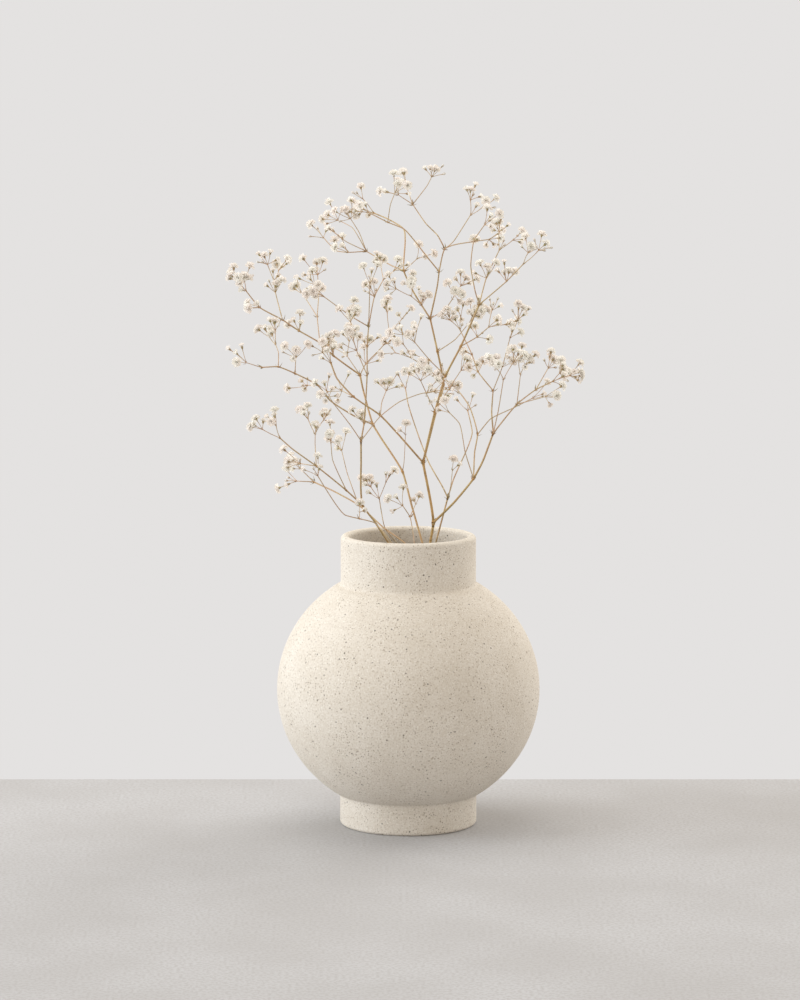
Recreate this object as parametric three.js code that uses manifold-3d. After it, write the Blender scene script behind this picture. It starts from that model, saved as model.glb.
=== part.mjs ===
// A round stoneware vase holding eight cut stems of dried gypsophila.
//
// Millimetres, +Z up. The origin is the middle of the vase's flat underside, so the vase stands
// on the plane z = 0. Each stem grew as one piece: its wood, its twigs and its flower heads are
// joined in one solid. The vase is another. Nothing is glued, so every stem keeps clear of the
// vase and of the other stems.
import * as THREE from 'three';
import { mergeVertices } from 'three/addons/utils/BufferGeometryUtils.js';
import Module from 'manifold-3d';

const wasm = await Module();
wasm.setup();

// ---------------------------------------------------------------- driving dimensions
const VASE_HEIGHT = 200;
const NECK_RADIUS = 46.2;
const NECK_WALL = 6;
const BODY_RADIUS = 90;
const BODY_HALF_HEIGHT = 85.5;
const BODY_CENTRE = 93.5;
const BODY_WALL = 7;
const FOOT_RADIUS = 46.9;
const FOOT_EDGE = 2.2;
const FLOOR_LEVEL = 16;
const CORNER_FILLET = 3;
const VASE_FACETS = 36;
const BELLY_STEPS = 14;
const INNER_BELLY_STEPS = 10;
const FILLET_STEPS = 2;
const LIP_STEPS = 5;
const SHORTEST_STEP = 0.05;

const ARM_RADIUS = 0.27;
const PEDICEL_RADIUS = 0.22;
const STALK_FOOT = 0.28;
const STALK_SPREAD = 0.23;
const STALK_SINK = 0.22;
const ARM_LENGTH = 12;
const SIDE_ARM_LENGTH = 10;
const FORK_ANGLES = [24, 42];
const ARM_SHARES = [0.75, 1.15];
const CENTRE_SHARES = [0.45, 0.7];
const ARM_SHRINK = 0.72;
const LIFT = 0.14;
const SIDE_LEAN = 48;
const HEAD_RADIUS = { open: 2.8, half: 2.2, bud: 1.2 };
const OPEN_SHARE = 0.66;
const HALF_SHARE = 0.2;
const HEAD_SEAT = 0.6;
const HEAD_LOW = 0.5;
const HEAD_TOP = 1.6;
const HEAD_FACETS = 3;
const TWIG_SIDES = 3;
const LIMB_SIDES = [[0.6, 5], [0.42, 4], [0, TWIG_SIDES]];
const CENTRE_SHARE = 0.65;
const CLEARANCE = 0.45;
const TOUCHING = 0.01;
const TURN_STEP = 137.5;
const TURNS = 12;
const SEED_TURN = 61;
const SHORTENINGS = [1, 0.8, 0.62];
const VASE_KEEP_OUT = 206;

// The dice are a plain multiplying rule, so they fall the same way on every run.
const DICE_SIDES = 2147483647;
const DICE_STEP = 16807;
const SEED_STEP = 7919;
const SEED_START = 12345;

const MERGE_DISTANCE = 1e-4;
const NEARLY_NOTHING = 1e-9;

// ---------------------------------------------------------------- the stems' wood
// A stem is a list of limbs. A limb is a radius, the points that its middle line runs through,
// how many times the sprig at its tip forks, and 1 where small sprigs stand along it too. It
// starts on a point of the limb that carries it, and the first limb of a stem starts with its
// cut end, inside the vase.
const STEMS = {
  stem_main: [
    [1.0, [[-6, -1, 17.4], [3, -4, 110], [15, -6, 196], [17, -6, 209], [10, -4, 250]]],
    [0.62, [[10, -4, 250], [-19, -20, 284], [-37, -32, 298], [-48, -38, 311], [-52, -42, 322]], 2],
    [0.32, [[-19, -20, 284], [-18, -12, 292], [-15, -2, 299]], 1],
    [0.3, [[-37, -32, 298], [-45, -22, 301]], 1],
    [0.72, [[10, -4, 250], [18, -14, 286], [25, -22, 311], [35, -34, 332], [47, -46, 361]]],
    [0.4, [[47, -46, 361], [65, -52, 377], [76, -58, 389]], 2, 1],
    [0.4, [[47, -46, 361], [52, -34, 378], [61, -22, 396]], 2, 1],
    [0.4, [[47, -46, 361], [44, -56, 371], [41, -64, 388], [43, -70, 405], [50, -74, 416]], 1],
    [0.36, [[35, -34, 332], [46, -30, 338], [54, -22, 344]], 2, 1],
    [0.36, [[25, -22, 311], [14, -34, 323], [4, -46, 336]], 2, 1],
    [0.32, [[18, -14, 286], [12, -30, 300], [8, -42, 310]], 1, 1],
    [0.32, [[18, -14, 286], [28, -2, 301], [36, 8, 312]], 1, 1],
    [0.72, [[10, -4, 250], [19, 8, 284], [24, 18, 301], [20, 26, 323], [15, 34, 345]]],
    [0.34, [[24, 18, 301], [14, 14, 312], [2, 10, 320]], 2, 1],
    [0.34, [[20, 26, 323], [32, 18, 332], [40, 14, 342]], 2],
    [0.34, [[15, 34, 345], [9, 22, 355], [2, 12, 362]], 2, 1],
    [0.34, [[15, 34, 345], [25, 22, 352], [30, 14, 360]], 2],
    [0.55, [[15, 34, 345], [4, 40, 362], [-3, 44, 377], [-3, 50, 405], [-14, 54, 412], [-24, 58, 416]], 2],
    [0.3, [[-3, 44, 377], [6, 34, 386]], 1],
    [0.42, [[-3, 44, 377], [-12, 56, 380], [-29, 66, 389]]],
    [0.34, [[-29, 66, 389], [-42, 70, 388], [-50, 72, 389], [-59, 74, 398]], 1, 1],
    [0.3, [[-29, 66, 389], [-43, 62, 396], [-48, 60, 400]], 0],
    [0.3, [[-29, 66, 389], [-39, 74, 405], [-49, 78, 410]], 1],
    [0.3, [[-29, 66, 389], [-34, 66, 402], [-40, 62, 412]], 1],
    [0.55, [[15, 34, 345], [20, 26, 369], [21, 24, 378]]],
    [0.42, [[21, 24, 378], [13, 18, 388], [-3, 6, 408], [-14, 0, 413], [-27, -6, 420]], 1],
    [0.32, [[-14, 0, 413], [-12, -12, 426], [-9, -18, 434]], 1],
    [0.42, [[21, 24, 378], [25, 30, 393], [45, 46, 397], [56, 54, 398]], 1, 1],
    [0.34, [[25, 30, 393], [31, 10, 400], [42, 0, 418]], 2],
    [0.42, [[25, 30, 393], [20, 34, 402], [12, 36, 410], [3, 38, 423]]],
    [0.3, [[3, 38, 423], [13, 38, 436], [16, 36, 442]], 1],
    [0.3, [[3, 38, 423], [0, 46, 431], [-2, 52, 438]], 0],
    [0.3, [[3, 38, 423], [-7, 30, 430]], 1],
    [0.72, [[17, -6, 209], [31, -14, 224], [44, -20, 241], [50, -24, 253], [57, -30, 273]]],
    [0.5, [[57, -30, 273], [56, -26, 287], [57, -22, 301]]],
    [0.4, [[57, -22, 301], [47, -14, 313], [43, -8, 324], [35, 2, 340]], 2, 1],
    [0.32, [[57, -22, 301], [63, -30, 318], [68, -36, 338], [73, -38, 350]], 1, 1],
    [0.38, [[57, -30, 273], [60, -44, 290], [63, -56, 312]], 2],
    [0.46, [[57, -30, 273], [73, -24, 292], [86, -16, 301], [98, -8, 306]], 2],
    [0.32, [[73, -24, 292], [75, -34, 313]], 2],
    [0.32, [[86, -16, 301], [95, 2, 314]], 1],
    [0.32, [[73, -24, 292], [92, -32, 298]], 1],
    [0.46, [[44, -20, 241], [45, -8, 258], [47, -2, 269], [42, 10, 286], [34, 28, 296], [25, 38, 303]], 1],
    [0.34, [[47, -2, 269], [56, 4, 279], [72, 10, 286], [85, 16, 292]], 1],
    [0.34, [[44, -20, 241], [38, -34, 261], [34, -42, 281], [27, -46, 289]], 1],
  ],
  stem_right: [
    [0.66, [[-12, 22, 20], [2, 14, 110], [19, 6, 194], [21, 6, 202], [24, 8, 213], [27, 10, 224]]],
    [0.44, [[27, 10, 224], [31, 16, 236], [44, 32, 266], [41, 40, 281]], 1],
    [0.44, [[27, 10, 224], [24, 14, 230], [14, 22, 247], [0, 40, 285], [-2, 46, 296]], 1],
    [0.26, [[27, 10, 224], [29, 6, 233], [30, 2, 244]], 0],
  ],
  stem_middle: [
    [0.72, [[38, -22, 29], [30, -22, 110], [10, -12, 194], [2, -9, 222], [-4, -6, 244], [-19, 0, 267],
      [-24, 4, 275], [-31, 10, 299], [-33, 14, 308]]],
    [0.55, [[-33, 14, 308], [-51, 6, 322], [-60, 2, 331], [-74, -6, 340], [-85, -12, 348]], undefined, 1],
    [0.44, [[-85, -12, 348], [-100, -20, 357], [-109, -28, 369]], 2, 1],
    [0.36, [[-85, -12, 348], [-90, -2, 366], [-91, 2, 373]], 2, 1],
    [0.34, [[-60, 2, 331], [-62, 12, 348], [-61, 18, 364], [-62, 24, 376]], 1, 1],
    [0.3, [[-62, 12, 348], [-69, 30, 357], [-73, 36, 362]], 1],
    [0.34, [[-33, 14, 308], [-29, 22, 315], [-17, 32, 327], [-13, 38, 336]], 2, 1],
    [0.34, [[-33, 14, 308], [-42, 26, 320]], 2],
    [0.5, [[-24, 4, 275], [-37, -4, 282], [-53, -18, 294], [-61, -26, 305], [-76, -36, 314],
      [-87, -42, 319], [-98, -46, 319]]],
    [0.3, [[-98, -46, 319], [-108, -54, 323]], 1],
    [0.32, [[-87, -42, 319], [-87, -36, 328], [-89, -32, 333]], 2],
    [0.32, [[-76, -36, 314], [-75, -50, 326]], 1],
    [0.32, [[-61, -26, 305], [-68, -16, 304]], 1],
    [0.26, [[-4, -6, 244], [-3, -12, 251], [-2, -20, 271]], 0],
  ],
  stem_left: [
    [0.72, [[52, -6, 36], [34, -10, 110], [8, -12, 160], [-14, -14, 197], [-23, -14, 211], [-31, -14, 222],
      [-32, -20, 254], [-32, -22, 267]]],
    [0.48, [[-32, -22, 267], [-30, -14, 278], [-28, -6, 310], [-28, 0, 329], [-27, 4, 342]], undefined, 1],
    [0.38, [[-27, 4, 342], [-23, 10, 362], [-17, 16, 373]], 2, 1],
    [0.36, [[-27, 4, 342], [-38, -2, 349], [-57, -16, 364]], 2, 1],
    [0.32, [[-27, 4, 342], [-26, -4, 372]], 1],
    [0.32, [[-28, -6, 310], [-35, -18, 328], [-37, -26, 336]], 2, 1],
    [0.34, [[-32, -22, 267], [-19, -36, 285], [-6, -46, 296], [8, -52, 302], [17, -56, 304]], 1],
    [0.34, [[-32, -22, 267], [-39, -34, 279], [-50, -48, 295]], 2],
    [0.5, [[-31, -14, 222], [-42, -20, 233], [-62, -32, 251], [-78, -42, 264], [-86, -48, 272]], 2],
    [0.32, [[-62, -32, 251], [-63, -22, 265], [-63, -18, 271]], 2],
    [0.32, [[-42, -20, 233], [-51, -36, 256], [-52, -42, 268]], 1],
    [0.32, [[-62, -32, 251], [-73, -26, 252]], 1],
  ],
  stem_low: [
    [0.6, [[54, 8, 37], [40, 6, 120], [22, 2, 168], [10, 0, 180], [-3, 4, 194], [-17, 6, 204],
      [-34, 10, 219], [-51, 14, 228], [-65, 18, 234]]],
    [0.34, [[-65, 18, 234], [-77, 22, 234]], 1],
    [0.32, [[-65, 18, 234], [-74, 12, 244]], 1],
    [0.32, [[-34, 10, 219], [-42, 26, 239], [-46, 34, 254]], 1],
  ],
  stem_curved: [
    [0.4, [[-6, -30, 23], [-2, -30, 150], [-5, -29, 184], [-12, -28, 199], [-23, -28, 212],
      [-33, -30, 215], [-43, -32, 218], [-56, -38, 237], [-61, -42, 246]], 1],
    [0.26, [[-33, -30, 215], [-33, -26, 219]], 0],
  ],
  stem_thin: [
    [0.36, [[12, 28, 22], [8, 22, 140], [2, 18, 180], [-9, 16, 193], [-16, 18, 202], [-20, 22, 222]], 2],
  ],
  stem_short: [
    [0.36, [[16, -34, 25], [9, -26, 150], [4, -20, 197], [1, -20, 215], [-4, -22, 223]], 1],
    [0.26, [[1, -20, 215], [5, -14, 223]], 0],
  ],
};

// ---------------------------------------------------------------- materials
const stoneware = new THREE.MeshStandardMaterial({ color: 0xe6dfcf, roughness: 0.88, metalness: 0 });
const driedStem = new THREE.MeshStandardMaterial({ color: 0xcdb68c, roughness: 0.8, metalness: 0 });

// ---------------------------------------------------------------- small helpers
const vec = (point) => new THREE.Vector3(...point);
const turned = (vector, axis, degrees) =>
  vector.clone().applyAxisAngle(axis, THREE.MathUtils.degToRad(degrees));
const between = (low, high, share) => low + (high - low) * share;

function solidOf(geometry) {
  geometry.deleteAttribute('normal');
  geometry.deleteAttribute('uv');
  const merged = mergeVertices(geometry, MERGE_DISTANCE);
  return new wasm.Manifold(new wasm.Mesh({
    numProp: 3,
    vertProperties: new Float32Array(merged.attributes.position.array),
    triVerts: new Uint32Array(merged.index.array),
  }));
}

// Joins solids into one. Where thin stalks part at a fork, the join can leave crumbs of no
// volume, so the one large body is kept.
function joined(solids) {
  const bodies = wasm.Manifold.union(solids).decompose();
  return bodies.reduce((best, body) => (body.volume() > best.volume() ? body : best));
}

function meshOf(name, solid, material) {
  const { vertProperties, triVerts } = solid.getMesh();
  const geometry = new THREE.BufferGeometry();
  geometry.setAttribute('position', new THREE.BufferAttribute(new Float32Array(vertProperties), 3));
  geometry.setIndex(new THREE.BufferAttribute(new Uint32Array(triVerts), 1));
  geometry.computeVertexNormals();
  const mesh = new THREE.Mesh(geometry, material);
  mesh.name = name;
  return mesh;
}

// A repeatable run of numbers between 0 and 1.
function diceFor(seed) {
  let state = (seed * SEED_STEP + SEED_START) % DICE_SIDES;
  return () => {
    state = (state * DICE_STEP) % DICE_SIDES;
    return state / DICE_SIDES;
  };
}

// ---------------------------------------------------------------- the vase
// The height of the ellipse that a wall follows, at a distance from the axis.
function wallRise(radius, halfWidth, halfHeight) {
  return halfHeight * Math.sqrt(1 - (radius / halfWidth) ** 2);
}

function makeVase() {
  const lipRadius = NECK_WALL / 2;
  const lipLevel = VASE_HEIGHT - lipRadius;
  const innerNeck = NECK_RADIUS - NECK_WALL;
  const innerWidth = BODY_RADIUS - BODY_WALL;
  const innerHeight = BODY_HALF_HEIGHT - BODY_WALL;
  const floorEdge = innerWidth * Math.sqrt(1 - ((BODY_CENTRE - FLOOR_LEVEL) / innerHeight) ** 2);
  const footCorner = FOOT_RADIUS + CORNER_FILLET;
  const neckCorner = NECK_RADIUS + CORNER_FILLET;
  const bellyLow = BODY_CENTRE - wallRise(footCorner, BODY_RADIUS, BODY_HALF_HEIGHT);
  const bellyHigh = BODY_CENTRE + wallRise(neckCorner, BODY_RADIUS, BODY_HALF_HEIGHT);

  const flat = (...pairs) => pairs.map(([x, y]) => new THREE.Vector2(x, y));
  const round = (x, y, radius, from, to, steps) =>
    new THREE.EllipseCurve(x, y, radius, radius, from, to, false).getPoints(steps);
  const bend = (from, corner, to) =>
    new THREE.QuadraticBezierCurve(...flat(from, corner, to)).getPoints(FILLET_STEPS);
  const belly = (width, height, from, to, steps) => {
    const angle = (radius, way) => Math.asin((way * wallRise(radius, width, height)) / height);
    const curve = new THREE.EllipseCurve(0, BODY_CENTRE, width, height,
      angle(Math.abs(from), Math.sign(from)), angle(Math.abs(to), Math.sign(to)), from > 0);
    return curve.getPoints(steps);
  };

  const outline = [
    ...flat([0, 0]),
    ...round(FOOT_RADIUS - FOOT_EDGE, FOOT_EDGE, FOOT_EDGE, -Math.PI / 2, 0, FILLET_STEPS),
    ...bend([FOOT_RADIUS, bellyLow - CORNER_FILLET], [FOOT_RADIUS, bellyLow], [footCorner, bellyLow]),
    ...belly(BODY_RADIUS, BODY_HALF_HEIGHT, -footCorner, neckCorner, BELLY_STEPS),
    ...bend([neckCorner, bellyHigh], [NECK_RADIUS, bellyHigh], [NECK_RADIUS, bellyHigh + CORNER_FILLET]),
    ...round(NECK_RADIUS - lipRadius, lipLevel, lipRadius, 0, Math.PI, LIP_STEPS),
    ...belly(innerWidth, innerHeight, innerNeck, -floorEdge, INNER_BELLY_STEPS),
    ...flat([0, FLOOR_LEVEL]),
  ].filter((point, i, all) => i === 0 || point.distanceTo(all[i - 1]) > SHORTEST_STEP);
  return solidOf(new THREE.LatheGeometry(outline, VASE_FACETS).rotateX(Math.PI / 2));
}

// ---------------------------------------------------------------- how a sprig grows
// Gypsophila forks in twos with a flower head in each fork, and each pair of arms opens across
// the pair before it.
function growSprig(base, dir, side, forks, length, dice) {
  const arms = [];
  const flowers = [];
  const addFlower = (foot, along, reach) => {
    const pick = dice();
    const kind = pick < OPEN_SHARE ? 'open' : pick < OPEN_SHARE + HALF_SHARE ? 'half' : 'bud';
    const radius = HEAD_RADIUS[kind];
    const sunk = foot.clone().addScaledVector(along, -STALK_SINK);
    flowers.push({ foot: sunk, along, reach, stalk: PEDICEL_RADIUS, radius, kind });
  };
  const fork = (foot, along, across, left, reach) => {
    for (const way of left > 0 ? [-1, 1] : []) {
      const angle = THREE.MathUtils.degToRad(between(...FORK_ANGLES, dice()));
      const armDir = along.clone().multiplyScalar(Math.cos(angle))
        .addScaledVector(across, way * Math.sin(angle));
      armDir.z += LIFT;
      armDir.normalize();
      const armReach = reach * between(...ARM_SHARES, dice());
      if (left > 1) {
        const tip = foot.clone().addScaledVector(armDir, armReach);
        arms.push({ a: foot.clone().addScaledVector(armDir, -STALK_SINK), b: tip, radius: ARM_RADIUS });
        const nextAcross = new THREE.Vector3().crossVectors(armDir, across).normalize();
        fork(tip, armDir, nextAcross, left - 1, reach * ARM_SHRINK);
      } else {
        addFlower(foot.clone().addScaledVector(across, way * STALK_SPREAD), armDir, armReach);
      }
    }
    const centreReach = reach * between(...CENTRE_SHARES, dice());
    if (dice() < CENTRE_SHARE || left === 0) addFlower(foot, along, centreReach);
  };
  fork(base, dir, side, forks, length);
  return { arms, flowers };
}

// The room that a flower takes: its stalk, and a ball round its head.
function flowerRoom({ foot, along, reach, stalk, radius }) {
  const tip = foot.clone().addScaledVector(along, reach);
  const centre = tip.clone().addScaledVector(along, radius * HEAD_SEAT);
  return [{ a: foot, b: tip, radius: stalk }, { a: centre, b: centre, radius }];
}

// The gap between two round-ended stretches, by the closest points of their middle lines.
function gapBetween(one, two) {
  const u = new THREE.Vector3().subVectors(one.b, one.a);
  const v = new THREE.Vector3().subVectors(two.b, two.a);
  const w = new THREE.Vector3().subVectors(one.a, two.a);
  const uu = u.dot(u);
  const vv = v.dot(v);
  const uv = u.dot(v);
  const clamp = (value) => Math.min(1, Math.max(0, value));
  const slant = uu * vv - uv * uv;
  let s = slant > NEARLY_NOTHING ? clamp((uv * v.dot(w) - vv * u.dot(w)) / slant) : 0;
  const t = vv > NEARLY_NOTHING ? clamp((uv * s + v.dot(w)) / vv) : 0;
  s = uu > NEARLY_NOTHING ? clamp((uv * t - u.dot(w)) / uu) : 0;
  return w.addScaledVector(u, s).addScaledVector(v, -t).length() - one.radius - two.radius;
}

// Turns a sprig round its limb, and then shortens it, until it clears all that grew before it.
function placeSprig(placed, point, limbDir, lean, forks, length, seed) {
  const start = new THREE.Vector3().crossVectors(limbDir, new THREE.Vector3(0, 1, 0)).normalize();
  const dot = { a: point, b: point, radius: 0 };
  const others = placed.filter((piece) => gapBetween(dot, piece) > TOUCHING);
  const leanAngle = THREE.MathUtils.degToRad(lean);
  for (const share of SHORTENINGS) {
    for (let turn = 0; turn < TURNS; turn += 1) {
      const side = turned(start, limbDir, turn * TURN_STEP + seed * SEED_TURN);
      const dir = limbDir.clone().multiplyScalar(Math.cos(leanAngle))
        .addScaledVector(side, Math.sin(leanAngle));
      dir.z += lean ? LIFT : 0;
      dir.normalize();
      const across = lean ? new THREE.Vector3().crossVectors(dir, side).normalize() : side;
      const grown = growSprig(point, dir, across, forks, length * share, diceFor(seed));
      const parts = [...grown.arms, ...grown.flowers.flatMap(flowerRoom)];
      const clear = parts.every((part) => part.b.z > VASE_KEEP_OUT
        && others.every((other) => gapBetween(part, other) > CLEARANCE));
      if (clear) {
        placed.push(...parts);
        return grown;
      }
    }
  }
  return null;
}

// ---------------------------------------------------------------- from lines to solids
// A smooth line that is cut at its own points, so that what grows from a point starts inside it.
class LimbLine extends THREE.CatmullRomCurve3 {
  getUtoTmapping(share) {
    return share;
  }
}

function tube(points, radius, sides) {
  const section = new THREE.Shape(Array.from({ length: sides }, (_, i) => {
    const angle = (2 * Math.PI * i) / sides;
    return new THREE.Vector2(radius * Math.cos(angle), radius * Math.sin(angle));
  }));
  return solidOf(new THREE.ExtrudeGeometry(section, {
    steps: points.length - 1,
    extrudePath: points.length > 2 ? new LimbLine(points) : new THREE.LineCurve3(...points),
    bevelEnabled: false,
  }));
}

// A flower stalk with its head on top, turned round the stalk's own line.
function flowerSolid(flower) {
  const { foot, along, reach, stalk, radius } = flower;
  const profile = [
    [0, 0],
    [STALK_FOOT, 0],
    [stalk, reach - radius * HEAD_LOW],
    [radius, reach + radius * HEAD_SEAT],
    [0, reach + radius * HEAD_TOP],
  ];
  const shape = new THREE.LatheGeometry(profile.map(([x, y]) => new THREE.Vector2(x, y)), HEAD_FACETS);
  const turn = new THREE.Quaternion().setFromUnitVectors(new THREE.Vector3(0, 1, 0), along);
  shape.applyQuaternion(turn).translate(foot.x, foot.y, foot.z);
  return solidOf(shape);
}

// Thick limbs have more sides than thin ones.
function sidesOf(radius) {
  return LIMB_SIDES.find(([above]) => radius > above)[1];
}

function growStems() {
  const placed = [];
  const limbs = [];
  for (const [name, list] of Object.entries(STEMS)) {
    const starts = new Set(list.map(([, points]) => points[0].join()));
    for (const [radius, points, forks, along] of list) {
      const line = points.map(vec);
      for (let i = 1; i < line.length; i += 1) placed.push({ a: line[i - 1], b: line[i], radius });
      limbs.push({ name, radius, line, forks, along, starts, points });
    }
  }
  const stems = {};
  let seed = 0;
  for (const { name, radius, line, forks, along, starts, points } of limbs) {
    const solids = stems[name] ??= [];
    solids.push(tube(line, radius, sidesOf(radius)));
    const sprigs = [];
    const last = line.length - 1;
    if (forks !== undefined && !starts.has(points[last].join())) {
      const dir = new THREE.Vector3().subVectors(line[last], line[last - 1]).normalize();
      sprigs.push([line[last], dir, 0, forks, ARM_LENGTH]);
    }
    for (let i = 1; i < last && along; i += 1) {
      if (starts.has(points[i].join())) continue;
      const dir = new THREE.Vector3().subVectors(line[i + 1], line[i - 1]).normalize();
      sprigs.push([line[i], dir, SIDE_LEAN, i % 2, SIDE_ARM_LENGTH]);
    }
    for (const [point, dir, lean, count, length] of sprigs) {
      seed += 1;
      const grown = placeSprig(placed, point, dir, lean, count, length, seed);
      if (!grown) continue;
      for (const arm of grown.arms) solids.push(tube([arm.a, arm.b], arm.radius, TWIG_SIDES));
      for (const flower of grown.flowers) {
        if (flower.kind === 'open') solids.push(flowerSolid(flower));
      }
    }
  }
  return stems;
}

const object = new THREE.Group();
object.add(meshOf('vase', makeVase(), stoneware));
const stems = growStems();
for (const [name, solids] of Object.entries(stems)) {
  object.add(meshOf(name, joined(solids), driedStem));
}

export default object;
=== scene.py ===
# %% [markdown]
# A round vase of dried gypsophila. The vase is thrown stoneware, left without a glaze, and eight cut
# stems stand in it. Gypsophila forks in twos again and again, so a stem ends in a cloud of hair-thin
# twigs, each with a papery head of petals in a small brown cup. The solids packed for the part are
# loaded first, and then what is seen around them is made: the pot, the stems, the table and the light.

# %% Load the frame
import math
import random

import bmesh
import bpy
import numpy as np
from mathutils import Matrix, Vector


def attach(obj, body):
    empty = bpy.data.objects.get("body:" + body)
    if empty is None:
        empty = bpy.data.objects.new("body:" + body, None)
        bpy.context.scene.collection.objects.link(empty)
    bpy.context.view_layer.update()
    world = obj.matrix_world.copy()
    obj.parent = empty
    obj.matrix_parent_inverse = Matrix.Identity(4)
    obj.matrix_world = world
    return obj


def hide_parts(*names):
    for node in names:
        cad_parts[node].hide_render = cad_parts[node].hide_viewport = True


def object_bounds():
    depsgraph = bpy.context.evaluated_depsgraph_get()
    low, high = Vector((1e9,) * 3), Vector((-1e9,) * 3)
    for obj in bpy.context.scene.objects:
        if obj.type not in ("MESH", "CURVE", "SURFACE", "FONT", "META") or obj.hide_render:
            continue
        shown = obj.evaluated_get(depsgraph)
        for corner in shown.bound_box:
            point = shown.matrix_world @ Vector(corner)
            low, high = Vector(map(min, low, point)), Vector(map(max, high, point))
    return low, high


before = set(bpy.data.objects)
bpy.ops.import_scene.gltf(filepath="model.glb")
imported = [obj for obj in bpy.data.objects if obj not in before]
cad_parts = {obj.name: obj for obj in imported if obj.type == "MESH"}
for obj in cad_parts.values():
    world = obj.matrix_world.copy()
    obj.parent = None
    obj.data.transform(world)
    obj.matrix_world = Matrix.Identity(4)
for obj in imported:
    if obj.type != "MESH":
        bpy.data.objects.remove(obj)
cad_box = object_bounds()
MM = 0.001
TURN = 2 * math.pi
print("nodes:", sorted(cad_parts))

# %% [markdown]
# The camera stands a good way off, a little above the flowers, and looks slightly down, so that the
# mouth of the vase opens to a narrow oval. A long lens from far away keeps the round belly round.

# %% Place the camera
CAMERA_PLACE = (-0.0057, -2.600, 0.56635)
CAMERA_PITCH = 0.131
CAMERA_LENS = 138.48

camera = bpy.data.objects.new("camera", bpy.data.cameras.new("camera"))
camera.data.lens = CAMERA_LENS
camera.location = CAMERA_PLACE
camera.rotation_euler = (math.pi / 2 - CAMERA_PITCH, 0, 0)
bpy.context.scene.collection.objects.link(camera)
bpy.context.scene.camera = camera
print("camera lens:", camera.data.lens)

# %% [markdown]
# Every finish here is a pattern worked out from nodes, so nothing is read from a picture. Wiring nodes
# one by one is long to write and hard to read. A small class that stands for one socket lets the maths
# be written as it is on paper: `0.8 + tooth * 0.14` adds its own Math nodes. Colours are blended by a
# Mix node, because a Math node would turn them grey.

# %% Write shader maths as plain expressions
COLOUR_A, COLOUR_B, COLOUR_OUT = 6, 7, 2


class Signal:
    """What one socket gives out: a number or a colour that varies over a surface."""

    def __init__(self, finish, socket):
        self.finish = finish
        self.socket = socket

    def maths(self, operation, first, second):
        return self.finish.node("ShaderNodeMath", {"operation": operation}, {0: first, 1: second})

    def __add__(self, value):
        return self.maths("ADD", self, value)

    def __sub__(self, value):
        return self.maths("SUBTRACT", self, value)

    def __mul__(self, value):
        return self.maths("MULTIPLY", self, value)

    def __pow__(self, value):
        return self.maths("POWER", self, value)

    def __radd__(self, value):
        return self.maths("ADD", value, self)

    def rise(self, low, high):
        """0 below low, 1 above high, and a smooth step between them. low may be the larger."""
        ends = {"Value": self, "From Min": low, "From Max": high}
        return self.finish.node("ShaderNodeMapRange", {"interpolation_type": "SMOOTHSTEP"}, ends)


class Finish:
    """A material that is put together node by node."""

    def __init__(self, name):
        self.material = bpy.data.materials.new(name)
        self.material.use_nodes = True
        self.tree = self.material.node_tree
        self.shader = self.tree.nodes["Principled BSDF"]
        self.place = self.node("ShaderNodeTexCoord", out="Object")

    def node(self, kind, settings=None, sockets=None, out=0):
        made = self.tree.nodes.new(kind)
        for name, value in (settings or {}).items():
            setattr(made, name, value)
        for name, value in (sockets or {}).items():
            self.wire(value, made.inputs[name])
        return Signal(self, made.outputs[out])

    def wire(self, value, socket):
        if isinstance(value, Signal):
            self.tree.links.new(value.socket, socket)
        else:
            socket.default_value = value

    def set(self, **sockets):
        for name, value in sockets.items():
            self.wire(value, self.shader.inputs[name.replace("_", " ")])

    def blend(self, share, first, second):
        sockets = {0: share, COLOUR_A: first, COLOUR_B: second}
        return self.node("ShaderNodeMix", {"data_type": "RGBA"}, sockets, out=COLOUR_OUT)

    def noise(self, size, detail=2.0, place=None, out="Fac"):
        """Soft lumps about this many millimetres across."""
        sockets = {"Vector": place or self.place, "Scale": 1 / (size * MM), "Detail": detail}
        return self.node("ShaderNodeTexNoise", None, sockets, out)

    def attribute(self, name):
        return self.node("ShaderNodeAttribute", {"attribute_name": name}, out="Fac")

    def bump(self, height, depth):
        """A relief this many millimetres deep."""
        sockets = {"Height": height, "Distance": depth * MM, "Strength": 1.0}
        self.set(Normal=self.node("ShaderNodeBump", None, sockets, out="Normal"))


print("shader tools ready")

# %% [markdown]
# Stoneware is a coarse clay fired hard. Iron in it melts out as dark pinpricks, grog and quartz show as
# pale grains, and the surface stays dry. The specks could be scattered by noise with a hard edge, but
# noise gives blots of one size that join up. Each cell of a Voronoi pattern has one centre, and the
# distance to it makes a round speck that seldom meets another. Four sizes of cell give the few large
# specks, the many small ones, a dark dust and the pale grains. Fine noise in the coordinates frays their
# edges, and broad noise makes the small dark ones stronger in some places than in others.

# %% Finish: unglazed speckled stoneware
LIP_HEIGHT = 0.200
LIP_HIGHLIGHT_START, LIP_HIGHLIGHT_END = 0.0028, 0.0004
SPECK_CORE = 0.45
FRAY_SIZE, FRAY_DEPTH = 0.5, 0.45


def speck_field(clay, place, cell, radius):
    """Round specks, one in each cell. Cell and radius are in millimetres."""
    sockets = {"Vector": place, "Scale": 1 / (cell * MM)}
    distance = clay.node("ShaderNodeTexVoronoi", {"feature": "F1"}, sockets, out="Distance")
    return distance.rise(radius / cell, SPECK_CORE * radius / cell)


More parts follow.
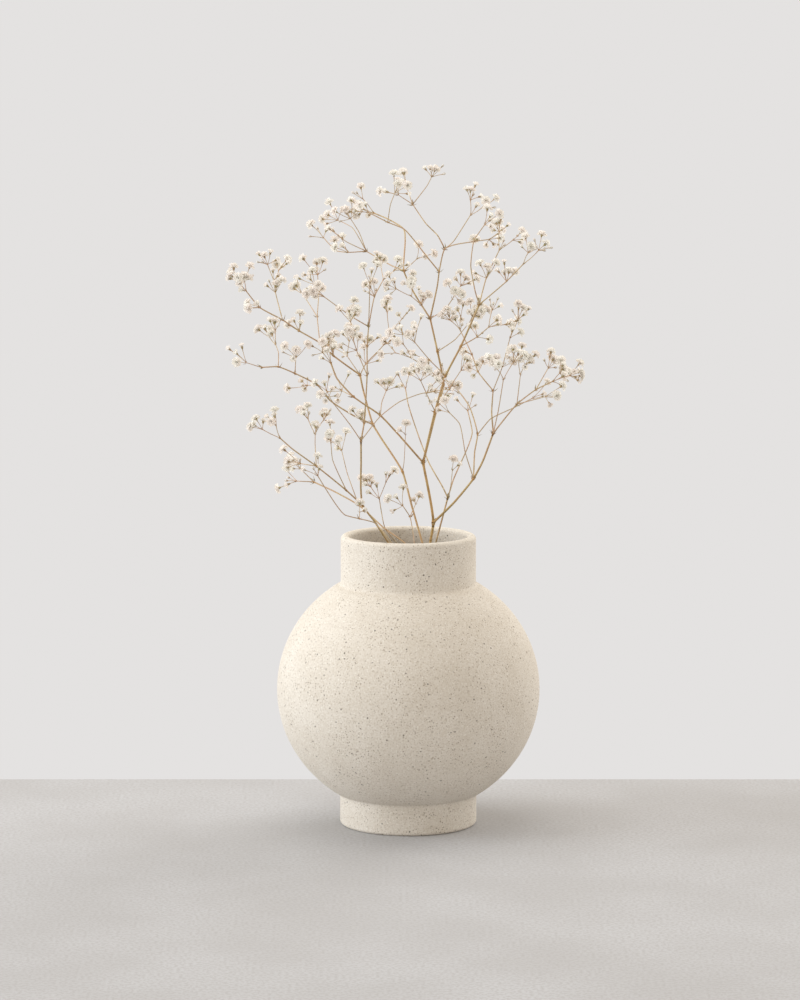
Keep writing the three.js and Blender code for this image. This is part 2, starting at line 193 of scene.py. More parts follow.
def make_stoneware():
    clay = Finish("stoneware")
    fray = clay.node("ShaderNodeVectorMath", {"operation": "SCALE"},
                     {0: clay.noise(FRAY_SIZE, out="Color"), "Scale": FRAY_DEPTH * MM})
    place = clay.node("ShaderNodeVectorMath", {"operation": "ADD"}, {0: clay.place, 1: fray})
    crowd = clay.noise(17.0, 3.0).rise(0.32, 0.66)
    iron = speck_field(clay, place, 6.4, 0.72)
    pepper = speck_field(clay, place, 2.2, 0.54)
    dust = speck_field(clay, place, 1.35, 0.4)
    quartz = speck_field(clay, place, 1.9, 0.52)
    cloud = clay.noise(26.0, 3.0).rise(0.3, 0.7)
    tooth = clay.noise(1.1, 4.0)
    height = clay.node("ShaderNodeSeparateXYZ", None, {0: clay.place}, out="Z")
    # Painted highlight: a mask that rises over the top few millimetres of the lip, where light falls on the
    # rim.
    lip_highlight_mask = height.rise(LIP_HEIGHT - LIP_HIGHLIGHT_START, LIP_HEIGHT - LIP_HIGHLIGHT_END)

    colour = clay.blend(cloud, (0.74, 0.69, 0.615, 1), (0.79, 0.745, 0.675, 1))
    colour = clay.blend(tooth.rise(0.42, 0.66) * 0.5, colour, (0.60, 0.535, 0.44, 1))
    colour = clay.blend(quartz * 0.8, colour, (0.93, 0.90, 0.83, 1))
    colour = clay.blend(dust * (0.3 + crowd * 0.45), colour, (0.36, 0.29, 0.21, 1))
    colour = clay.blend(pepper * (0.4 + crowd * 0.55), colour, (0.235, 0.18, 0.13, 1))
    colour = clay.blend(iron * 0.92, colour, (0.085, 0.066, 0.05, 1))
    # The painted highlight on the lip: its top is blended paler, standing in for light on the rim.
    colour = clay.blend(lip_highlight_mask * 0.4, colour, (0.86, 0.82, 0.74, 1))
    clay.set(Base_Color=colour, Roughness=0.8 + tooth * 0.14)
    clay.set(Specular_IOR_Level=0.3)
    clay.bump(tooth + quartz * 0.35 - pepper * 0.3 - iron * 0.5, 0.2)
    return clay.material


stoneware = make_stoneware()
print("stoneware nodes:", len(stoneware.node_tree.nodes))

# %% [markdown]
# The vase is thrown on a wheel, so every level of it is a circle. It could be a stack of scaled rings,
# but a potter thinks in its outline: a low straight foot, a wide round belly, a straight neck, and a
# rounded lip that turns inwards and runs back down inside as a wall 6 or 7 mm thick. So the outline is
# drawn once as a chain of edges, with round stretches as arcs, and spun round the axis. The spin leaves
# a seam and two crowded poles, which are merged, and then the faces are turned outwards.

# %% Throw the vase
VASE_HEIGHT = 200
NECK_RADIUS = 46.2
NECK_WALL = 6
BODY_RADIUS = 90
BODY_HALF_HEIGHT = 85.5
BODY_CENTRE = 93.5
BODY_WALL = 7
FOOT_RADIUS = 46.9
FOOT_EDGE = 2.2
FLOOR_LEVEL = 16
CORNER_FILLET = 3
SPIN_STEPS = 128


def arc(x, z, width, height, start, end, steps):
    """Points on an ellipse round (x, z), from one angle to another, in degrees."""
    angles = np.radians(np.linspace(start, end, steps + 1))
    return [(x + width * math.cos(a), z + height * math.sin(a)) for a in angles]


def bend(start, corner, end, steps):
    """A rounded corner: a curve that leaves start and reaches end, pulled towards the corner."""
    shares = np.linspace(0, 1, steps + 1)
    pull = [((1 - s) ** 2, 2 * s * (1 - s), s * s) for s in shares]
    return [tuple(a * start[k] + b * corner[k] + c * end[k] for k in (0, 1)) for a, b, c in pull]


def belly_angle(radius, width):
    """How far up its ellipse, in degrees, a wall stands at this distance from the axis."""
    return math.degrees(math.acos(radius / width))


def vase_outline():
    inner_width = BODY_RADIUS - BODY_WALL
    inner_height = BODY_HALF_HEIGHT - BODY_WALL
    foot_side = FOOT_RADIUS + CORNER_FILLET
    neck_side = NECK_RADIUS + CORNER_FILLET
    low_angle = belly_angle(foot_side, BODY_RADIUS)
    high_angle = belly_angle(neck_side, BODY_RADIUS)
    low = BODY_CENTRE - BODY_HALF_HEIGHT * math.sin(math.radians(low_angle))
    high = BODY_CENTRE + BODY_HALF_HEIGHT * math.sin(math.radians(high_angle))
    lip = NECK_WALL / 2
    floor_angle = math.degrees(math.asin((BODY_CENTRE - FLOOR_LEVEL) / inner_height))
    return [
        (0, 0),
        *arc(FOOT_RADIUS - FOOT_EDGE, FOOT_EDGE, FOOT_EDGE, FOOT_EDGE, -90, 0, 8),
        *bend((FOOT_RADIUS, low - CORNER_FILLET), (FOOT_RADIUS, low), (foot_side, low), 8),
        *arc(0, BODY_CENTRE, BODY_RADIUS, BODY_HALF_HEIGHT, -low_angle, high_angle, 56)[1:],
        *bend((neck_side, high), (NECK_RADIUS, high), (NECK_RADIUS, high + CORNER_FILLET), 8)[1:],
        *arc(NECK_RADIUS - lip, VASE_HEIGHT - lip, lip, lip, 0, 180, 16),
        *arc(0, BODY_CENTRE, inner_width, inner_height,
             belly_angle(NECK_RADIUS - NECK_WALL, inner_width), -floor_angle, 48),
        (0, FLOOR_LEVEL),
    ]


def as_mesh(name, bm):
    mesh = bpy.data.meshes.new(name)
    bm.to_mesh(mesh)
    bm.free()
    return mesh


def as_piece(name, bm, material, slot, *nodes):
    """Turns a shape in millimetres into a piece of the part, in metres, that stands for its nodes."""
    bmesh.ops.scale(bm, vec=(MM, MM, MM), verts=bm.verts)
    mesh = as_mesh(name, bm)
    mesh.shade_smooth()
    mesh.materials.append(material)
    piece = bpy.data.objects.new(name, mesh)
    bpy.context.scene.collection.objects.link(piece)
    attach(piece, "root")
    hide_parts(*nodes)
    return piece


def throw_vase():
    bm = bmesh.new()
    chain = [bm.verts.new((x, 0, z)) for x, z in vase_outline()]
    edges = [bm.edges.new(pair) for pair in zip(chain, chain[1:])]
    bmesh.ops.spin(bm, geom=chain + edges, cent=(0, 0, 0), axis=(0, 0, 1), angle=TURN,
                   steps=SPIN_STEPS, use_merge=True)
    bmesh.ops.remove_doubles(bm, verts=bm.verts, dist=0.001)
    bmesh.ops.recalc_face_normals(bm, faces=bm.faces)
    return as_piece("vase_body", bm, stoneware, "stoneware", "vase")


vase = throw_vase()
print("vase faces:", len(vase.data.polygons))

# %% [markdown]
# A dried stem is straw: golden brown where it is thick, paler where it thins, and rusty at each
# knuckle, where a pair of scale leaves sits. The colour could be painted by height, but a twig
# is thin wherever it grows. So the shape itself carries two numbers, the girth of the rod and how near
# a knuckle is, and the finish reads them. Noise stretched along the stem draws its fibres.

# %% Finish: dried stem
THIN_GIRTH, THICK_GIRTH = 0.25, 0.95


def make_straw():
    straw = Finish("dried_stem")
    stretch = straw.node("ShaderNodeMapping", None, {"Vector": straw.place, "Scale": (1, 1, 0.08)})
    fibre = straw.noise(0.35, 3.0, stretch)
    patch = straw.noise(14.0, 2.0).rise(0.35, 0.65)
    thick = straw.attribute("girth").rise(THIN_GIRTH, THICK_GIRTH)
    knuckle = straw.attribute("knuckle")

    twig = straw.blend(patch, (0.60, 0.48, 0.30, 1), (0.60, 0.42, 0.29, 1))
    trunk = straw.blend(patch, (0.53, 0.385, 0.15, 1), (0.50, 0.31, 0.12, 1))
    colour = straw.blend(thick, twig, trunk)
    colour = straw.blend(fibre.rise(0.4, 0.75) * 0.45, colour, (0.27, 0.165, 0.07, 1))
    colour = straw.blend(knuckle * 0.7, colour, (0.47, 0.225, 0.08, 1))
    straw.set(Base_Color=colour, Roughness=0.55 + fibre * 0.3)
    straw.bump(fibre, 0.05)
    return straw.material


straw = make_straw()
print("straw nodes:", len(straw.node_tree.nodes))

# %% [markdown]
# Dried petals are paper: off-white, cream towards the claw that holds them, a little tan where an edge
# has caught the air, and thin enough to let light through. A plain diffuse white would look like chalk,
# so part of the shader is a Translucent one, which lights the shaded side of a head from behind.

# %% Finish: papery petals
SEE_THROUGH = 0.48


def make_petal_paper():
    paper = Finish("petals")
    tip = paper.attribute("tip")
    vein = paper.noise(0.45, 3.0)
    head_to_head = paper.noise(9.0, 1.0).rise(0.38, 0.62)
    scorched = paper.noise(2.4, 2.0).rise(0.58, 0.74) * tip ** 2

    pale = paper.blend(head_to_head, (0.97, 0.96, 0.925, 1), (0.97, 0.935, 0.905, 1))
    colour = paper.blend(tip.rise(0.42, 0.0) * 0.5, pale, (0.82, 0.76, 0.60, 1))
    colour = paper.blend(vein.rise(0.55, 0.8) * 0.15, colour, (0.80, 0.73, 0.62, 1))
    colour = paper.blend(scorched * 0.35, colour, (0.66, 0.53, 0.40, 1))
    paper.set(Base_Color=colour, Roughness=0.72 + vein * 0.2)
    paper.set(Specular_IOR_Level=0.25)
    paper.bump(vein, 0.05)

    nodes = paper.tree.nodes
    glow = paper.node("ShaderNodeBsdfTranslucent", None, {"Color": colour})
    front = Signal(paper, paper.shader.outputs["BSDF"])
    both = paper.node("ShaderNodeMixShader", None, {0: SEE_THROUGH, 1: front, 2: glow})
    paper.wire(both, nodes["Material Output"].inputs["Surface"])
    return paper.material


petal_paper = make_petal_paper()
print("petal nodes:", len(petal_paper.node_tree.nodes))

# %% [markdown]
# Each head sits in a cup of five fused sepals. Dried, the cup is olive brown with a darker grain, and
# its five teeth are nearly black at their tips. The same leathery finish does for the scale leaves.

# %% Finish: dry cups and scale leaves
def make_husk():
    husk = Finish("calyx")
    tip = husk.attribute("tip")
    patch = husk.noise(7.0, 2.0).rise(0.35, 0.65)
    grain = husk.noise(0.3, 3.0)

    skin = husk.blend(patch, (0.42, 0.37, 0.18, 1), (0.46, 0.32, 0.19, 1))
    colour = husk.blend(grain.rise(0.4, 0.8) * 0.5, skin, (0.20, 0.14, 0.07, 1))
    colour = husk.blend(tip.rise(0.35, 0.95) * 0.85, colour, (0.10, 0.065, 0.04, 1))
    husk.set(Base_Color=colour, Roughness=0.6 + grain * 0.25)
    husk.bump(grain, 0.04)
    return husk.material


husk = make_husk()
print("husk nodes:", len(husk.node_tree.nodes))

# %% [markdown]
# Now the wood of the bouquet, in millimetres. A stem is a list of limbs. A limb is its radius, the
# points that its middle line runs through, how many times the sprig at its tip forks, and 1 where small
# sprigs stand along it as well. A row that ends sooner has none of those. A limb starts on a point of
# the limb that carries it, and the first limb of each stem starts with its cut end, down inside the
# vase. These are the limbs that the solids were built on, so the rods drawn here lie where those are.

# %% Lay out the limbs of the eight stems
STEMS = {
    "stem_main": [
        [1.0, [[-6, -1, 17.4], [3, -4, 110], [15, -6, 196], [17, -6, 209], [10, -4, 250]]],
        [0.62, [[10, -4, 250], [-19, -20, 284], [-37, -32, 298], [-48, -38, 311], [-52, -42, 322]], 2],
        [0.32, [[-19, -20, 284], [-18, -12, 292], [-15, -2, 299]], 1],
        [0.3, [[-37, -32, 298], [-45, -22, 301]], 1],
        [0.72, [[10, -4, 250], [18, -14, 286], [25, -22, 311], [35, -34, 332], [47, -46, 361]]],
        [0.4, [[47, -46, 361], [65, -52, 377], [76, -58, 389]], 2, 1],
        [0.4, [[47, -46, 361], [52, -34, 378], [61, -22, 396]], 2, 1],
        [0.4, [[47, -46, 361], [44, -56, 371], [41, -64, 388], [43, -70, 405], [50, -74, 416]], 1],
        [0.36, [[35, -34, 332], [46, -30, 338], [54, -22, 344]], 2, 1],
        [0.36, [[25, -22, 311], [14, -34, 323], [4, -46, 336]], 2, 1],
        [0.32, [[18, -14, 286], [12, -30, 300], [8, -42, 310]], 1, 1],
        [0.32, [[18, -14, 286], [28, -2, 301], [36, 8, 312]], 1, 1],
        [0.72, [[10, -4, 250], [19, 8, 284], [24, 18, 301], [20, 26, 323], [15, 34, 345]]],
        [0.34, [[24, 18, 301], [14, 14, 312], [2, 10, 320]], 2, 1],
        [0.34, [[20, 26, 323], [32, 18, 332], [40, 14, 342]], 2],
        [0.34, [[15, 34, 345], [9, 22, 355], [2, 12, 362]], 2, 1],
        [0.34, [[15, 34, 345], [25, 22, 352], [30, 14, 360]], 2],
        [0.55, [[15, 34, 345], [4, 40, 362], [-3, 44, 377], [-3, 50, 405], [-14, 54, 412],
                [-24, 58, 416]], 2],
        [0.3, [[-3, 44, 377], [6, 34, 386]], 1],
        [0.42, [[-3, 44, 377], [-12, 56, 380], [-29, 66, 389]]],
        [0.34, [[-29, 66, 389], [-42, 70, 388], [-50, 72, 389], [-59, 74, 398]], 1, 1],
        [0.3, [[-29, 66, 389], [-43, 62, 396], [-48, 60, 400]], 0],
        [0.3, [[-29, 66, 389], [-39, 74, 405], [-49, 78, 410]], 1],
        [0.3, [[-29, 66, 389], [-34, 66, 402], [-40, 62, 412]], 1],
        [0.55, [[15, 34, 345], [20, 26, 369], [21, 24, 378]]],
        [0.42, [[21, 24, 378], [13, 18, 388], [-3, 6, 408], [-14, 0, 413], [-27, -6, 420]], 1],
        [0.32, [[-14, 0, 413], [-12, -12, 426], [-9, -18, 434]], 1],
        [0.42, [[21, 24, 378], [25, 30, 393], [45, 46, 397], [56, 54, 398]], 1, 1],
        [0.34, [[25, 30, 393], [31, 10, 400], [42, 0, 418]], 2],
        [0.42, [[25, 30, 393], [20, 34, 402], [12, 36, 410], [3, 38, 423]]],
        [0.3, [[3, 38, 423], [13, 38, 436], [16, 36, 442]], 1],
        [0.3, [[3, 38, 423], [0, 46, 431], [-2, 52, 438]], 0],
        [0.3, [[3, 38, 423], [-7, 30, 430]], 1],
        [0.72, [[17, -6, 209], [31, -14, 224], [44, -20, 241], [50, -24, 253], [57, -30, 273]]],
        [0.5, [[57, -30, 273], [56, -26, 287], [57, -22, 301]]],
        [0.4, [[57, -22, 301], [47, -14, 313], [43, -8, 324], [35, 2, 340]], 2, 1],
        [0.32, [[57, -22, 301], [63, -30, 318], [68, -36, 338], [73, -38, 350]], 1, 1],
        [0.38, [[57, -30, 273], [60, -44, 290], [63, -56, 312]], 2],
        [0.46, [[57, -30, 273], [73, -24, 292], [86, -16, 301], [98, -8, 306]], 2],
        [0.32, [[73, -24, 292], [75, -34, 313]], 2],
        [0.32, [[86, -16, 301], [95, 2, 314]], 1],
        [0.32, [[73, -24, 292], [92, -32, 298]], 1],
        [0.46, [[44, -20, 241], [45, -8, 258], [47, -2, 269], [42, 10, 286], [34, 28, 296],
                [25, 38, 303]], 1],
        [0.34, [[47, -2, 269], [56, 4, 279], [72, 10, 286], [85, 16, 292]], 1],
        [0.34, [[44, -20, 241], [38, -34, 261], [34, -42, 281], [27, -46, 289]], 1],
    ],
    "stem_right": [
        [0.66, [[-12, 22, 20], [2, 14, 110], [19, 6, 194], [21, 6, 202], [24, 8, 213], [27, 10, 224]]],
        [0.44, [[27, 10, 224], [31, 16, 236], [44, 32, 266], [41, 40, 281]], 1],
        [0.44, [[27, 10, 224], [24, 14, 230], [14, 22, 247], [0, 40, 285], [-2, 46, 296]], 1],
        [0.26, [[27, 10, 224], [29, 6, 233], [30, 2, 244]], 0],
    ],
    "stem_middle": [
        [0.72, [[38, -22, 29], [30, -22, 110], [10, -12, 194], [2, -9, 222], [-4, -6, 244], [-19, 0, 267],
                [-24, 4, 275], [-31, 10, 299], [-33, 14, 308]]],
        [0.55, [[-33, 14, 308], [-51, 6, 322], [-60, 2, 331], [-74, -6, 340], [-85, -12, 348]], None, 1],
        [0.44, [[-85, -12, 348], [-100, -20, 357], [-109, -28, 369]], 2, 1],
        [0.36, [[-85, -12, 348], [-90, -2, 366], [-91, 2, 373]], 2, 1],
        [0.34, [[-60, 2, 331], [-62, 12, 348], [-61, 18, 364], [-62, 24, 376]], 1, 1],
        [0.3, [[-62, 12, 348], [-69, 30, 357], [-73, 36, 362]], 1],
        [0.34, [[-33, 14, 308], [-29, 22, 315], [-17, 32, 327], [-13, 38, 336]], 2, 1],
        [0.34, [[-33, 14, 308], [-42, 26, 320]], 2],
        [0.5, [[-24, 4, 275], [-37, -4, 282], [-53, -18, 294], [-61, -26, 305], [-76, -36, 314],
               [-87, -42, 319], [-98, -46, 319]]],
        [0.3, [[-98, -46, 319], [-108, -54, 323]], 1],
        [0.32, [[-87, -42, 319], [-87, -36, 328], [-89, -32, 333]], 2],
        [0.32, [[-76, -36, 314], [-75, -50, 326]], 1],
        [0.32, [[-61, -26, 305], [-68, -16, 304]], 1],
        [0.26, [[-4, -6, 244], [-3, -12, 251], [-2, -20, 271]], 0],
    ],
    "stem_left": [
        [0.72, [[52, -6, 36], [34, -10, 110], [8, -12, 160], [-14, -14, 197], [-23, -14, 211],
                [-31, -14, 222], [-32, -20, 254], [-32, -22, 267]]],
        [0.48, [[-32, -22, 267], [-30, -14, 278], [-28, -6, 310], [-28, 0, 329], [-27, 4, 342]], None, 1],
        [0.38, [[-27, 4, 342], [-23, 10, 362], [-17, 16, 373]], 2, 1],
        [0.36, [[-27, 4, 342], [-38, -2, 349], [-57, -16, 364]], 2, 1],
        [0.32, [[-27, 4, 342], [-26, -4, 372]], 1],
        [0.32, [[-28, -6, 310], [-35, -18, 328], [-37, -26, 336]], 2, 1],
        [0.34, [[-32, -22, 267], [-19, -36, 285], [-6, -46, 296], [8, -52, 302], [17, -56, 304]], 1],
        [0.34, [[-32, -22, 267], [-39, -34, 279], [-50, -48, 295]], 2],
        [0.5, [[-31, -14, 222], [-42, -20, 233], [-62, -32, 251], [-78, -42, 264], [-86, -48, 272]], 2],
        [0.32, [[-62, -32, 251], [-63, -22, 265], [-63, -18, 271]], 2],
        [0.32, [[-42, -20, 233], [-51, -36, 256], [-52, -42, 268]], 1],
        [0.32, [[-62, -32, 251], [-73, -26, 252]], 1],
    ],
    "stem_low": [
        [0.6, [[54, 8, 37], [40, 6, 120], [22, 2, 168], [10, 0, 180], [-3, 4, 194], [-17, 6, 204],
               [-34, 10, 219], [-51, 14, 228], [-65, 18, 234]]],
        [0.34, [[-65, 18, 234], [-77, 22, 234]], 1],
        [0.32, [[-65, 18, 234], [-74, 12, 244]], 1],
        [0.32, [[-34, 10, 219], [-42, 26, 239], [-46, 34, 254]], 1],
    ],
    "stem_curved": [
        [0.4, [[-6, -30, 23], [-2, -30, 150], [-5, -29, 184], [-12, -28, 199], [-23, -28, 212],
               [-33, -30, 215], [-43, -32, 218], [-56, -38, 237], [-61, -42, 246]], 1],
        [0.26, [[-33, -30, 215], [-33, -26, 219]], 0],
    ],
    "stem_thin": [
        [0.36, [[12, 28, 22], [8, 22, 140], [2, 18, 180], [-9, 16, 193], [-16, 18, 202], [-20, 22, 222]], 2],
    ],
    "stem_short": [
        [0.36, [[16, -34, 25], [9, -26, 150], [4, -20, 197], [1, -20, 215], [-4, -22, 223]], 1],
        [0.26, [[1, -20, 215], [5, -14, 223]], 0],
    ],
}
print("limbs:", sum(len(limbs) for limbs in STEMS.values()))

# %% [markdown]
# Where a limb ends, a sprig takes over. Gypsophila follows one rule all the way out: a twig forks in
# two, a flower head stands in the fork, and the next pair opens across the last. The rule could run
# with fresh chance, but the solids have already grown by it, so the same dice are thrown in the same
# order, and each head of the solids gets its petals.

# %% Grow a sprig by forking in twos
ARM_RADIUS = 0.27
STALK_RADIUS = 0.22
STALK_SPREAD = 0.23
STALK_SINK = 0.22
FORK_ANGLES = (24, 42)
ARM_SHARES = (0.75, 1.15)
CENTRE_SHARES = (0.45, 0.7)
ARM_SHRINK = 0.72
LIFT = 0.14
OPEN_SHARE, HALF_SHARE, CENTRE_SHARE = 0.66, 0.2, 0.65
HEAD_RADIUS = {"open": 2.8, "half": 2.2, "bud": 1.2}
DICE_SIDES = 2147483647
DICE_STEP = 16807
SEED_STEP, SEED_START = 7919, 12345


def dice_for(seed):
    """A repeatable run of numbers between 0 and 1."""
    state = (seed * SEED_STEP + SEED_START) % DICE_SIDES

    def roll():
        nonlocal state
        state = (state * DICE_STEP) % DICE_SIDES
        return state / DICE_SIDES

    return roll


def unit(vector):
    return vector / np.linalg.norm(vector)


def between(pair, share):
    return pair[0] + (pair[1] - pair[0]) * share


def grow_sprig(base, direction, side, forks, length, dice):
    arms, flowers = [], []

    def add_flower(foot, along, reach):
        pick = dice()
        kind = "open" if pick < OPEN_SHARE else "half" if pick < OPEN_SHARE + HALF_SHARE else "bud"
        sunk = foot - along * STALK_SINK
        flowers.append({"foot": sunk, "along": along, "reach": reach, "kind": kind,
                        "radius": HEAD_RADIUS[kind]})

    def fork(foot, along, across, left, reach):
        for way in (-1, 1) if left > 0 else ():
            angle = math.radians(between(FORK_ANGLES, dice()))
            arm = along * math.cos(angle) + across * (way * math.sin(angle))
            arm = unit(arm + np.array([0, 0, LIFT]))
            arm_reach = reach * between(ARM_SHARES, dice())
            if left > 1:
                tip = foot + arm * arm_reach
                arms.append((foot - arm * STALK_SINK, tip, ARM_RADIUS))
                fork(tip, arm, unit(np.cross(arm, across)), left - 1, reach * ARM_SHRINK)
            else:
                add_flower(foot + across * (way * STALK_SPREAD), arm, arm_reach)
        centre_reach = reach * between(CENTRE_SHARES, dice())
        if dice() < CENTRE_SHARE or left == 0:
            add_flower(foot, along, centre_reach)

    fork(base, direction, side, forks, length)
    return arms, flowers


print("first throw:", round(dice_for(1)(), 3))

# %% [markdown]
# Twigs of one bouquet cross but don't pass through each other. Before a sprig is kept it is measured
# against all that grew before it, as rods with round ends, and if it comes too near it is turned round
# its limb, and then shortened, until it is clear. The rods are kept in arrays, so that the gaps from one
# rod to all the others are worked out together.

# %% Keep the sprigs clear of each other
CLEARANCE = 0.45
TOUCHING = 0.01
VASE_KEEP_OUT = 206
TURN_STEP, TURNS = 137.5, 12
SEED_TURN = 61
SHORTENINGS = (1, 0.8, 0.62)
HEAD_SEAT = 0.6
ARM_LENGTH, SIDE_ARM_LENGTH = 12, 10
SIDE_LEAN = 48
TINY = 1e-9


def gaps(rod, others):
    """The gap from one rod to each of the others. A rod is a start, an end and a radius."""
    start, end, radius = rod
    u = end - start
    v = others[:, 3:6] - others[:, 0:3]
    w = start - others[:, 0:3]
    uu, vv, uv = u @ u, np.sum(v * v, 1), v @ u
    uw, vw = w @ u, np.sum(v * w, 1)
    slant = uu * vv - uv * uv
    safe_slant = np.where(slant > TINY, slant, 1)
    safe_vv = np.where(vv > TINY, vv, 1)
    s = np.where(slant > TINY, np.clip((uv * vw - vv * uw) / safe_slant, 0, 1), 0)
    t = np.where(vv > TINY, np.clip((uv * s + vw) / safe_vv, 0, 1), 0)
    s = np.clip((uv * t - uw) / uu, 0, 1) if uu > TINY else 0 * t
    apart = w + s[:, None] * u - t[:, None] * v
    return np.linalg.norm(apart, axis=1) - radius - others[:, 6]


def stalk_end(flower):
    return flower["foot"] + flower["along"] * flower["reach"]


def flower_room(flower):
    """The room that a flower takes: its stalk, and a ball round its head."""
    tip = stalk_end(flower)
    centre = tip + flower["along"] * (flower["radius"] * HEAD_SEAT)
    return [(flower["foot"], tip, STALK_RADIUS), (centre, centre, flower["radius"])]


def turned(vector, axis, degrees):
    """The vector, turned round an axis."""
    angle = math.radians(degrees)
    across = np.cross(axis, vector) * math.sin(angle)
    return vector * math.cos(angle) + across + axis * ((axis @ vector) * (1 - math.cos(angle)))


def as_row(rod):
    return [*rod[0], *rod[1], rod[2]]


def place_sprig(placed, point, limb_way, lean, forks, length, seed):
    start = unit(np.cross(limb_way, [0, 1, 0]))
    everything = np.array(placed)
    others = everything[gaps((point, point, 0), everything) > TOUCHING]
    angle = math.radians(lean)
    for share in SHORTENINGS:
        for turn in range(TURNS):
            side = turned(start, limb_way, turn * TURN_STEP + seed * SEED_TURN)
            way = limb_way * math.cos(angle) + side * math.sin(angle)
            way = unit(way + np.array([0, 0, LIFT if lean else 0]))
            across = unit(np.cross(way, side)) if lean else side
            arms, flowers = grow_sprig(point, way, across, forks, length * share, dice_for(seed))
            parts = arms + [part for flower in flowers for part in flower_room(flower)]
            if all(part[1][2] > VASE_KEEP_OUT and gaps(part, others).min() > CLEARANCE for part in parts):
                placed.extend(as_row(part) for part in parts)
                return arms, flowers
    return [], []


def list_sprigs(limb):
    """Where sprigs stand on a limb: point, direction, lean, forks and length of arm."""
    line, starts = limb["line"], limb["starts"]
    found = []
    if limb["forks"] is not None and tuple(line[-1]) not in starts:
        found.append((line[-1], unit(line[-1] - line[-2]), 0, limb["forks"], ARM_LENGTH))
    for i in range(1, len(line) - 1 if limb["along"] else 1):
        if tuple(line[i]) not in starts:
            way = unit(line[i + 1] - line[i - 1])
            found.append((line[i], way, SIDE_LEAN, i % 2, SIDE_ARM_LENGTH))
    return found


def grow_bouquet():
    limbs = []
    for name, rows in STEMS.items():
        starts = {tuple(map(float, row[1][0])) for row in rows}
        for row in rows:
            radius, points, forks, along = (*row, None, None)[:4]
            limbs.append({"stem": name, "radius": radius, "line": np.array(points, float),
                          "forks": forks, "along": along, "starts": starts, "sprigs": []})
    placed = [as_row((a, b, limb["radius"])) for limb in limbs
              for a, b in zip(limb["line"], limb["line"][1:])]
    seed = 0
    for limb in limbs:
        for point, way, lean, forks, length in list_sprigs(limb):
            seed += 1
            limb["sprigs"].append((point, *place_sprig(placed, point, way, lean, forks, length, seed)))
    return limbs


limbs = grow_bouquet()
all_flowers = [flower for limb in limbs for sprig in limb["sprigs"] for flower in sprig[2]]
kinds = [flower["kind"] for flower in all_flowers]
print("flowers:", {kind: kinds.count(kind) for kind in HEAD_RADIUS})

# %% [markdown]
# A limb is a rod whose middle line bends softly through its points. It could be a curve with a bevel,
# but the wood also swells at each knuckle and thins towards its tip, and a bevelled curve has one
# thickness unless a second curve tapers it. So a disc is extruded along the line, ring by ring: each
# ring has its own size, and the rod is closed at both ends. Rings stand closer together at a knuckle.

# %% Draw a rod along a line
EASE = 0.6
PLAIN_STEP = 4.5
KNUCKLE_OFFSETS = (0.7, 1.6, 3.0)
KNUCKLE_SWELL = 0.55
KNUCKLE_REACH = 1.5
KNUCKLE_SHARE = 0.4
LEAST_GAP = 0.25


def ring_frames(line, radii):
    """A matrix for each ring: its place, its turn and its width. Each one turns on from the last."""
    chords = [unit(b - a) for a, b in zip(line, line[1:])]
    ways = [Vector(chords[0])]
    ways += [Vector(unit(a + b)) for a, b in zip(chords, chords[1:])]
    ways += [Vector(chords[-1])]
    side = ways[0].orthogonal().normalized()
    frames = []
    for point, way, before, radius in zip(line, ways, [ways[0]] + ways, radii):
        side = before.rotation_difference(way) @ side
        other = way.cross(side)
        turn = Matrix((side * radius, other * radius, way)).transposed().to_4x4()
        frames.append(Matrix.Translation(point) @ turn)
    return frames


def draw_rod(line, radii, knuckles, sides):
    """A closed rod along a line, as a mesh. Its points carry their girth and how near a knuckle is."""
    bm = bmesh.new()
    girth = bm.verts.layers.float.new("girth")
    knuckle = bm.verts.layers.float.new("knuckle")
    frames = ring_frames(line, radii)
    bmesh.ops.create_circle(bm, cap_ends=True, segments=sides, radius=1, matrix=frames[0])
    bm.faces.ensure_lookup_table()
    end = bm.faces[0]
    for vert in end.verts:
        vert[girth], vert[knuckle] = radii[0], knuckles[0]
    for before, after, radius, near in zip(frames, frames[1:], radii[1:], knuckles[1:]):
        grown = bmesh.ops.extrude_face_region(bm, geom=[end])["geom"]
        end = next(part for part in grown if isinstance(part, bmesh.types.BMFace))
        bmesh.ops.transform(bm, matrix=after @ before.inverted(), verts=end.verts)
        for vert in end.verts:
            vert[girth], vert[knuckle] = radius, near
    bmesh.ops.recalc_face_normals(bm, faces=bm.faces)
    return as_mesh("rod", bm)


def span_shares(length, radius):
    """How far along a span the rings stand, as shares of it, closer together at its two ends."""
    plain = np.linspace(0, 1, max(2, round(length / PLAIN_STEP)) + 1)[:-1]
    near = np.array([k * radius / (EASE * length) for k in KNUCKLE_OFFSETS])
    near = near[near < KNUCKLE_SHARE]
    shares = np.sort(np.concatenate([plain, near, 1 - near]))
    return shares[np.concatenate([[True], np.diff(shares) > LEAST_GAP * radius / length])]


def soft_line(points, radius):
    """The limb's middle line: it passes through every point, and turns softly there."""
    chords = np.diff(points, axis=0)
    ways = [unit(c) for c in chords]
    turns = [ways[0]] + [unit(a + b) for a, b in zip(ways, ways[1:])] + [ways[-1]]
    line = []
    for start, end, way_in, way_out, chord in zip(points, points[1:], turns, turns[1:], chords):
        length = np.linalg.norm(chord)
        for s in span_shares(length, radius):
            lead_in = way_in * (length * EASE * s * (1 - s) ** 2)
            lead_out = way_out * (length * EASE * s * s * (1 - s))
            ease = s * s * (3 - 2 * s)
            line.append(start * (1 - ease) + end * ease + lead_in - lead_out)
    return np.array(line + [points[-1]])


def knuckle_shares(line, knots, radius):
    """1 at a knuckle, falling to 0 within a few radii of it."""
    apart = np.linalg.norm(line[:, None] - np.array(knots)[None], axis=2).min(1)
    return np.exp(-(apart / (KNUCKLE_REACH * radius)) ** 2)


test_line = soft_line(limbs[0]["line"], limbs[0]["radius"])
print("rings on the first limb:", len(test_line))

